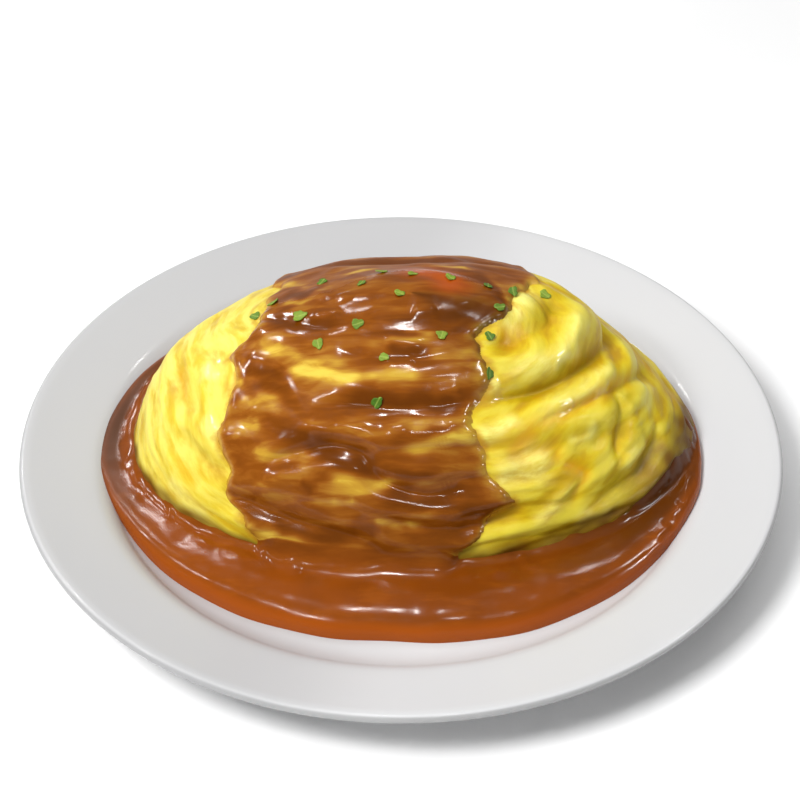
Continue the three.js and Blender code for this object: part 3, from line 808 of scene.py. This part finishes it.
def plate_underside():
    under = FLOOR_HEIGHT - FLOOR_THICKNESS
    bend = (WELL_RADIUS + 4, WELL_EDGE_HEIGHT - RIM_THICKNESS)
    lip = arc((PLATE_RADIUS - LIP_RADIUS, RIM_HEIGHT - LIP_RADIUS), LIP_RADIUS, 80, -50, 10)
    shoulder = (FLOOR_RADIUS + 3, under + 1.2)
    outer, inner = FOOT_RADIUS, FOOT_RADIUS - FOOT_WIDTH
    foot = (FOOT_RADIUS - FOOT_WIDTH / 2, 0.9)
    return np.concatenate([
        lip,
        line(lip[-1], bend, 4),
        curve(bend, (WELL_RADIUS - 4, under + 3.4), shoulder, 6),
        line(shoulder, (outer + 2.2, under + 0.7), 4),
        curve((outer + 2.2, under + 0.7), (outer + 0.6, under + 0.5), (outer, 1.0), 4),
        arc(foot, FOOT_WIDTH / 2, -5, -175, 10) * [1, 0.45] + [0, 0.495],
        curve((inner, 1.0), (inner - 0.4, under), (inner - 2.5, under), 4),
        line((inner - 2.5, under), (3, under), 8),
    ])


TOP_PROFILE = plate_top()


def plate_height(radius):
    return np.interp(radius, TOP_PROFILE[:, 0], TOP_PROFILE[:, 1])


def clear_of_plate(points):
    """Draws points in towards the middle where the well's wall is in the way."""
    wall = TOP_PROFILE[TOP_PROFILE[:, 0] > FLOOR_RADIUS - 3.5]
    room = np.interp(points[..., 2], wall[:, 1], wall[:, 0]) - WALL_GAP
    radius = np.linalg.norm(points[..., :2], axis=-1)
    points[..., :2] *= np.minimum(1.0, room / np.maximum(radius, 1e-6))[..., None]
    return points


def make_plate():
    profile = np.concatenate([TOP_PROFILE, plate_underside()])
    turn = np.linspace(0, 2 * math.pi, PLATE_SEGMENTS, endpoint=False)
    flat = circle(turn)[:, None] * profile[:, :1]
    points = with_height(flat, np.broadcast_to(profile[:, 1], flat.shape[:2]))
    skin = capped_grid(points, (0, 0, FLOOR_HEIGHT), (0, 0, FLOOR_HEIGHT - FLOOR_THICKNESS))
    plate = new_object("plate_glazed", *skin, plate_material())
    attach(plate, "root")
    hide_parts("plate")


# ---- Omelette

def egg_layers(relief, points):
    """What the egg's material needs to know of each point."""
    above_sauce = points[..., 2] - pool_level(relief.angle) - cling_height(relief.angle)
    # The egg darkens just above the sauce, more widely on the right: soaked in sauce, and painted shade.
    reach = 2.8 + 4.2 * bump_at(relief.angle, -45, 38)
    soak_and_shade = 1 - smoothstep(above_sauce + 0.8 * noise(relief.point, 6.0, 18), -0.8, reach)
    return {
        # The relief also sets the painted shade in the folds and the paler crests.
        "relief": 0.5 * relief.folds + relief.ripples + 1.5 * relief.creases,
        "band": np.clip(inside_band(relief), -8, 3),
        "soak_and_painted_shade": soak_and_shade * (0.85 + 0.15 * noise(relief.point, 4.0, 11)),
        # Painted light on the egg's left flank.
        "painted_left_light": 0.7 * bump_at(relief.angle, 176, 55),
        "painted_highlights": lines(relief.point, PAINTED_HIGHLIGHT_CRESTS),
        "painted_olive_shade": lines(relief.point, PAINTED_SHADE_VALLEYS),
        "orange": lines(relief.point, ORANGE_LINES),
        "browned": lines(relief.point, BROWNED_LINES),
        "wet": relief.wet,
    }


def make_omelette():
    angle = np.linspace(-180, 180, EGG_COLUMNS, endpoint=False)
    down = np.linspace(0, 1, EGG_ROWS + 1)[1:]
    relief = Relief(*np.meshgrid(angle, down, indexing="ij"))
    points = relief.moved(relief.egg)
    points[:, -1, 2] = DOME_FOOT
    points = clear_of_plate(points)
    skin = capped_grid(points, DOME_TIP.moved(DOME_TIP.egg)[0], (*DOME_CENTRE, DOME_FOOT))
    omelette = new_object("omelette_folded", *skin, egg_material())
    for name, values in egg_layers(relief, points).items():
        store(omelette, name, np.append(values, [0.0, 0.0]))
    flow = np.concatenate([relief.flow.reshape(-1, 3), DOME_TIP.flow, DOME_TIP.flow])
    store(omelette, "flow", flow * MM)
    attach(omelette, "root")
    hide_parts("omelette")
    return omelette


# ---- Sauce

def sauce_thickness(relief):
    """Thickness of the poured band over the egg. It fills the folds and runs out in a round edge."""
    point, down, far = relief.point, relief.down, behind(relief.angle)
    inside = inside_band(relief)
    body = SAUCE_BODY + 0.55 * noise(point, 20.0, 12) + 0.25 * noise(point, 7.0, 13)
    body = body + 0.18 * noise(relief.flow, 3.6, 21)
    body = body + far * (1.3 * smoothstep(inside, 0, 24) - 0.4) * bump(down - 0.42, 0.16)
    level = np.maximum(0.4 * (1 - smoothstep(down, 0.2, 0.5)), 0.45 * far * (1 - smoothstep(down, 0.42, 0.6)))
    fill = -((0.16 + level) * relief.folds + (0.3 + level) * relief.ripples + relief.creases)
    full = np.maximum(body + fill * smoothstep(inside, 0, 6), THINNEST_SAUCE)
    for places in GLINTS:
        full = full + GLINT_HEIGHT * near_line(point, on_dome(places), GLINT_WIDTH)
    rounded = np.sqrt(1 - (1 - np.clip(inside / BAND_EDGE_ROUNDING, 0, 1)) ** 2)
    return np.where(inside > 0, full * rounded, np.maximum(inside * 0.4, HEM)), inside


def optical_depth(relief, inside):
    """How deep the sauce looks: deep in folds and valleys, thin over crests, where the egg shows through."""
    depth = 2.3 - 0.4 * smoothstep(relief.down, 0.62, 0.85) + 0.4 * noise(relief.point, 18.0, 16)
    depth = depth - 0.25 * relief.folds - 0.55 * relief.ripples - 0.4 * relief.creases
    depth = depth + 1.3 * (lines(relief.point, DEEP_LINES) - lines(relief.point, THIN_LINES))
    return mix(0.7, depth, smoothstep(inside, -0.5, 5.0))


def painted_shade_on_pool(angle, out):
    """Painted shade on the pool: along its outer edge on the left, and beside the egg on the right."""
    left = bump_at(angle, 174, 26) * smoothstep(out, 0.25, 0.6)
    right = 0.8 * bump_at(angle, -28, 32) * (1 - smoothstep(out, 0.45, 0.8))
    return np.clip(left + right, 0, 1)


class SauceShape:
    """The sauce's skin and its lining, in columns that run from the dome's top down and out over the pool."""

    def __init__(self):
        self.turn = np.linspace(-180, 180, SAUCE_COLUMNS, endpoint=False)
        self.level = pool_level(self.turn)
        self.set_fillet_size()
        self.pour_band()
        self.fill_pool()
        self.top = np.concatenate([self.band_top, self.fillet(), self.pool_top], 1)
        self.under = np.concatenate([self.band_under, self.inner_wall(), self.pool_under], 1)

    def set_fillet_size(self):
        """Where a column's band hands over to the fillet: higher up where sauce has been poured."""
        foot = Relief(self.turn, np.full_like(self.turn, 0.9))
        poured = smoothstep(inside_band(foot), -4, 5)
        self.lift = mix(cling_height(self.turn), POURED_LIFT, poured)[:, None]
        self.reach = mix(*FILLET_REACH, poured)[:, None]

    def pour_band(self):
        share = np.linspace(0, 1, BAND_ROWS + 1)[1:]
        down = down_at(self.level[:, None] + self.lift) * share
        self.relief = Relief(np.broadcast_to(self.turn[:, None], down.shape), down)
        thickness, self.inside = sauce_thickness(self.relief)
        self.thickness = mix(thickness, np.maximum(thickness, HEM / 2), smoothstep(share, 0.96, 1.0))
        egg = clear_of_plate(self.relief.moved(self.relief.egg))
        self.band_top = egg + self.relief.normal * self.thickness[..., None]
        self.band_under = egg - self.relief.normal * LINING_DEPTH

    def fill_pool(self):
        radius = pool_edge_radius(self.turn)
        edge = with_height(circle(np.radians(self.turn), radius), plate_height(radius))
        waterline = Relief(self.turn, down_at(self.level))
        shore = clear_of_plate(waterline.moved(waterline.egg))[:, :2]
        shore *= np.minimum(1, (radius - SHORE_GAP) / np.hypot(*shore.T))[:, None]
        self.width = np.hypot(*(edge[:, :2] - shore).T)[:, None]
        first = np.minimum(self.reach / self.width, 0.5)
        self.out = mix(first, 1, np.sin(np.linspace(0, 1, POOL_ROWS) * math.pi / 2))
        flat = mix(shore[:, None], edge[:, None, :2], self.out[..., None])
        swell = np.sqrt((1 - self.out ** POOL_EDGE_POWER).clip(0))
        rise = mix(edge[:, 2:], self.level[:, None], swell)
        self.pool_top = with_height(flat, rise)
        self.pool_top[..., 2] += self.waves(swell)
        speckle = POOL_GLINT_HEIGHT * (0.6 + 0.8 * noise(self.pool_top, 2.6, 17))
        for places in POOL_GLINTS:
            self.pool_top[..., 2] += speckle * near_line(flat, np.array(places, dtype=float), GLINT_WIDTH)
        self.pool_under = with_height(flat, plate_height(np.linalg.norm(flat, axis=-1)) - SUNK)

    def waves(self, swell):
        """Slight unevenness of the pool, which calms down towards its edge."""
        wave = 0.45 * noise(self.pool_top, 15.0, 14) + 0.2 * noise(self.pool_top, 6.0, 15)
        return wave * smoothstep(swell, 0.1, 0.8) - 0.12 * (1 - swell)

    def fillet(self):
        """The hollow turn from the egg's side into the pool."""
        end, start = self.band_top[:, -1], self.pool_top[:, 0]
        after_end = end + unit(end - self.band_top[:, -2]) * self.lift * FILLET_PULL
        before_start = start - unit(self.pool_top[:, 1] - start) * self.reach * FILLET_PULL
        corners = (corner[:, None] for corner in (end, after_end, before_start, start))
        return bezier(*corners, np.linspace(0, 1, FILLET_ROWS + 2)[1:-1, None])

    def inner_wall(self):
        """The lining's way down inside the egg and out under the pool."""
        tucked = self.band_under[:, -1:].copy()
        tucked[..., :2] = mix(tucked[..., :2], DOME_CENTRE, 0.04)
        foot = tucked.copy()
        foot[..., 2] = FLOOR_HEIGHT - SUNK
        half = FILLET_ROWS // 2
        down_leg = mix(tucked, foot, np.linspace(0, 1, half)[:, None])
        out_leg = mix(foot, self.pool_under[:, :1], np.linspace(0, 1, FILLET_ROWS - half + 1)[:-1, None])
        return np.concatenate([down_leg, out_leg], 1)


def joined(band, fillet, pool):
    """One value for each of the sauce's points, from those of its three parts."""
    parts = ((band, BAND_ROWS), (fillet, FILLET_ROWS), (pool, POOL_ROWS))
    return np.concatenate([np.broadcast_to(values, (SAUCE_COLUMNS, rows)) for values, rows in parts], 1)


def sauce_layers(shape):
    """What the sauce's material needs to know of each point, and at the dome's top."""
    turn, down = shape.turn[:, None], shape.relief.down
    rim = smoothstep(shape.out * shape.width, shape.width - 3.6, shape.width - 0.8)
    dull = behind(turn) * smoothstep(down, 0.12, 0.24) * (1 - smoothstep(down, 0.5, 0.7))
    return {
        "depth": (joined(optical_depth(shape.relief, shape.inside), 2.6, 2.6), 2.4),
        "poured": (joined(1, np.linspace(0.8, 0, FILLET_ROWS), 0), 1.0),
        "rim": (joined(0, 0, rim * (1 - 0.9 * bump_at(turn, 176, 30))), 0.0),
        "ruddy": (joined(lines(shape.relief.point, RUDDY_LINES), 0, 0), 0.0),
        "dull": (joined(dull, 0, 0.85 * bump_at(turn, 168, 30) * smoothstep(shape.out, 0.42, 0.6)), 0.0),
        "painted_pool_shade": (painted_shade_on_pool(turn, joined(0, 0, shape.out)), 0.0),
    }


def make_sauce():
    shape, tip = SauceShape(), DOME_TIP
    sheet = np.concatenate([shape.top.reshape(-1, 3), tip.moved(tip.egg + sauce_thickness(tip)[0])])
    lining = np.concatenate([shape.under.reshape(-1, 3), tip.moved(tip.egg - LINING_DEPTH)])
    columns, rows = shape.top.shape[:2]

    # Only the poured part and the pool are kept, with a hem that ends just under the egg.
    depth = joined(shape.thickness, 1.0, 1.0).ravel()
    quads = grid_faces(columns, rows)
    kept = quads[depth[quads].max(1) > 0.6 * HEM]
    faces = [*map(tuple, kept), *fan(columns, rows, 0, columns * rows)]
    points, faces, origin = closed_shell(sheet, lining, faces)

    sauce = new_object("sauce_poured_and_pooled", points, faces, sauce_material())
    for name, (values, at_tip) in sauce_layers(shape).items():
        store(sauce, name, np.tile(np.append(values, at_tip), 2)[origin])
    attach(sauce, "root")
    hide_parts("sauce")
    return sauce


# ---- Parsley

# Where flakes lie, as x and y, each with its size and how light its green is.
FLAKES = [
    (-6, 22, 4.4, 0.9), (3.5, 18.5, 4.0, 0.9), (-24.5, 21.5, 4.0, 0.2), (-12, 14, 3.8, 0.3),
    (-0.5, 6.5, 4.0, 0.9), (15, 16.5, 4.2, 0.8), (26.5, 14.5, 4.2, 0.1), (34, 13, 4.2, 0.2),
    (44, 17, 4.4, 0.9), (29.5, 3, 4.2, 0.3), (-39.5, 15, 4.4, 0.8), (-45, 11, 4.2, 0.3),
    (-30.5, 2.5, 5.2, 0.8), (-13, -4.5, 4.4, 0.4), (-24.5, -10, 4.2, 0.7), (12, -10, 4.2, 0.8),
    (26.5, -7.5, 4.0, 0.1), (-5, -16.5, 3.8, 0.8), (26, -19.5, 4.2, 0.1), (-7, -28, 4.4, 0.0),
    (-17, 52, 4.2, 0.6), (6, 55, 4.0, 0.2), (24, 53, 4.4, 0.9), (-5, 60, 4.2, 0.7), (33, 57, 4.0, 0.3),
]
FLAKE_SPOKES, FLAKE_RINGS = 22, 4
FLAKE_TOP, FLAKE_BOTTOM = 0.16, -0.06
FLAKE_LEAN = 0.22
FLAKE_LIFT = 0.12
# From how far above the dome a flake is dropped to find the food under it.
DROP = 15


def flake_mesh(rng, size):
    """A chopped bit of leaf, a little cupped, flat on Z, and how much of a vein each point is."""
    turn = np.linspace(0, 2 * math.pi, FLAKE_SPOKES, endpoint=False)
    lobes = 1 + 0.16 * np.cos(3 * turn + rng.uniform(0, 6.3)) + 0.08 * np.cos(5 * turn + rng.uniform(0, 6.3))
    lobes = lobes * (1 + rng.uniform(-0.05, 0.05, FLAKE_SPOKES))
    radius = size / 2.4 * lobes[:, None] * (np.arange(1, FLAKE_RINGS + 1) / FLAKE_RINGS)
    squash = rng.uniform(0.8, 0.95)
    x, y = radius * np.cos(turn)[:, None], radius * np.sin(turn)[:, None] * squash
    fold = rng.uniform(0.08, 0.2)
    z = fold * np.abs(y) + 0.05 * x * x + 0.05 * np.sin(2.2 * x + rng.uniform(0, 6.3))
    skins = []
    for share, rise in ((1, FLAKE_TOP), (0.97, FLAKE_BOTTOM)):
        skin = np.stack([x * share, y * share, z + rise], -1).reshape(-1, 3)
        skins.append(np.append(skin, [[0, 0, rise]], 0))
    faces = [*map(tuple, grid_faces(*x.shape)), *fan(*x.shape, 0, x.size)]
    points, faces, _ = closed_shell(*skins, faces)
    return points, faces, 0.6 * bump(points[:, 1], 0.16)


def make_parsley(carriers):
    rng = np.random.default_rng(SEED)
    trees = [BVHTree.FromObject(piece, bpy.context.evaluated_depsgraph_get()) for piece in carriers]
    points, faces, shades, veins = [], [], [], []
    for x, y, size, light in FLAKES:
        flake, skin, vein = flake_mesh(rng, size)
        base, normal = dome_base(*place_on_dome(x, y))
        start, inward = Vector((base + normal * DROP) * MM), Vector(-normal)
        hits = [tree.ray_cast(start, inward) for tree in trees]
        spot, facing = min(((h[0], h[1]) for h in hits if h[0]), key=lambda h: (h[0] - start).length)
        up = (facing + Vector(rng.uniform(-FLAKE_LEAN, FLAKE_LEAN, 3))).normalized()
        turned = up.to_track_quat("Z", "Y").to_matrix() @ Matrix.Rotation(rng.uniform(0, 6.3), 3, "Z")
        offset = sum(map(len, points))
        points.append(flake @ np.array(turned).T + np.array(spot) / MM + np.array(up) * FLAKE_LIFT)
        faces += [tuple(corner + offset for corner in face) for face in skin]
        shades.append(np.full(len(flake), light))
        veins.append(vein)
    parsley = new_object("parsley_flakes", np.concatenate(points), faces, parsley_material())
    store(parsley, "shade", np.concatenate(shades))
    store(parsley, "vein", np.concatenate(veins))
    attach(parsley, "root")


# ---- Stage

CAMERA_PLACE = (-0.3165, -530.93, 476.20)
CAMERA_BELOW_LEVEL = 39.793
CAMERA_LENS = 99.52
FLOOR_SIDE = 3000.0
WORLD_STRENGTH = 0.22
# From here on in metres. The broad lights: place, side, power.
AIM = Vector((0, 0, 0.03))
BROAD_LIGHTS = {"key": ((-0.6, -0.48, 1.02), 0.4, 14.5), "fill": ((0, 0.3, 1.3), 1.6, 10.0)}
# Which way the sauce or the egg faces where it shows a white highlight, and the size and power of its light.
HIGHLIGHTS = [
    ((-0.42, -0.54, 0.74), (0.1, 0.03), 1.8),
    ((-0.20, -0.67, 0.71), (0.1, 0.03), 1.8),
    ((0.08, -0.62, 0.78), (0.1, 0.03), 1.8),
    ((-0.03, -0.40, 0.92), (0.1, 0.03), 2.6),
    ((-0.36, -0.26, 0.88), (0.1, 0.03), 1.5),
    ((-0.18, -0.07, 0.98), (0.1, 0.03), 1.1),
    ((0.14, -0.10, 0.98), (0.1, 0.03), 0.7),
    ((0.40, -0.44, 0.80), (0.2, 0.08), 4.4),
    ((-0.54, -0.37, 0.75), (0.12, 0.03), 1.8),
    ((0.56, -0.64, 0.53), (0.1, 0.04), 2.4),
    ((-0.43, -0.10, 0.90), (0.1, 0.04), 1.8),
]


def make_floor():
    ways = [(-1, -1, 0), (1, -1, 0), (1, 1, 0), (-1, 1, 0)]
    floor = new_object("floor", FLOOR_SIDE * np.array(ways), [(0, 1, 2, 3)], floor_material())


def make_camera():
    data = bpy.data.cameras.new("camera")
    data.lens = CAMERA_LENS
    camera = linked("camera", data)
    camera.location = Vector(CAMERA_PLACE) * MM
    camera.rotation_euler = (math.radians(90 - CAMERA_BELOW_LEVEL), 0, 0)
    scene.camera = camera


def softbox(name, place, size, power):
    data = bpy.data.lights.new(name, "AREA")
    data.shape = "RECTANGLE"
    data.size, data.size_y = size
    data.energy = power
    light = linked(name, data)
    light.location = place
    light.rotation_euler = (AIM - Vector(place)).to_track_quat("-Z", "Y").to_euler()
    return light


def make_light():
    """Broad lights that leave no highlights, and small ones that make nothing but highlights."""
    world = bpy.data.worlds.new("studio")
    world.use_nodes = True
    background = world.node_tree.nodes["Background"].inputs
    background["Color"].default_value = (1, 1, 1, 1)
    background["Strength"].default_value = WORLD_STRENGTH
    scene.world = world
    for name, (place, side, power) in BROAD_LIGHTS.items():
        softbox(name, place, (side, side), power).visible_glossy = False
    view = (Vector(CAMERA_PLACE) * MM - AIM).normalized()
    for i, (facing, size, power) in enumerate(HIGHLIGHTS):
        facing = Vector(facing).normalized()
        place = AIM + 2 * facing.dot(view) * facing - view
        softbox(f"highlight_{i}", place, size, power).visible_diffuse = False
    scene.view_settings.view_transform = "Standard"


make_camera()
make_plate()
omelette = make_omelette()
sauce = make_sauce()
make_parsley([omelette, sauce])
make_floor()
make_light()
